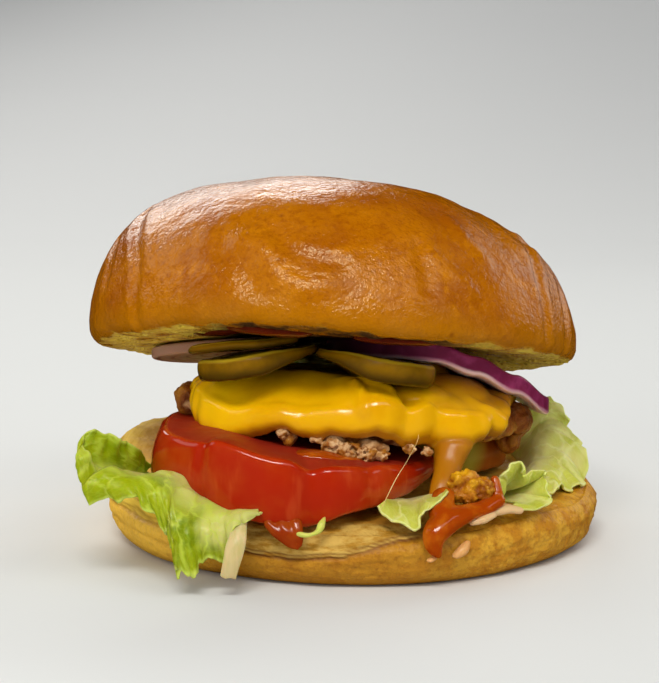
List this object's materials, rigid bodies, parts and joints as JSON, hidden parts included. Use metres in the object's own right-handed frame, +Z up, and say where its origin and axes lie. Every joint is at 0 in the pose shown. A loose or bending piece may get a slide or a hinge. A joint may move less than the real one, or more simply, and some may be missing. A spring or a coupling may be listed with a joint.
{
  "type": "chicken burger",
  "caption": "Chicken burger in a domed glazed bun, with fried chicken, melted cheese, tomato, pickles, red onion and frilly lettuce.",
  "frame": {"origin": "on the table, under the centre of the burger's bounding box", "axes": "+Z up, the pictured front faces -Y, and +X is to the right of the pictured front"},
  "size_m": [0.117, 0.1211, 0.0832],
  "materials": {
    "crust": "glossy glazed brioche crust",
    "heel_crust": "soft matt bread crust",
    "chicken": "rough fried coating",
    "cheese": "melted and glossy",
    "tomato": "wet and glossy",
    "pickle": "wet",
    "onion": "moist and satin",
    "lettuce": "fresh and satin",
    "rib": "moist and satin"
  },
  "bodies": {
    "root": {"bun_heel": "heel_crust", "lettuce_left": "lettuce", "lettuce_front": "lettuce", "lettuce_right": "lettuce", "lettuce_back_right": "lettuce", "lettuce_back": "lettuce", "lettuce_rib": "rib", "tomato_front": "tomato", "tomato_side": "tomato", "chicken_patty": "chicken", "chicken_nub": "chicken", "cheese_slice": "cheese", "pickle_left_lower": "pickle", "pickle_left_upper": "pickle", "pickle_right": "pickle", "onion_left": "onion", "onion_right": "onion", "bun_crown": "crust"}
  },
  "joints": []
}
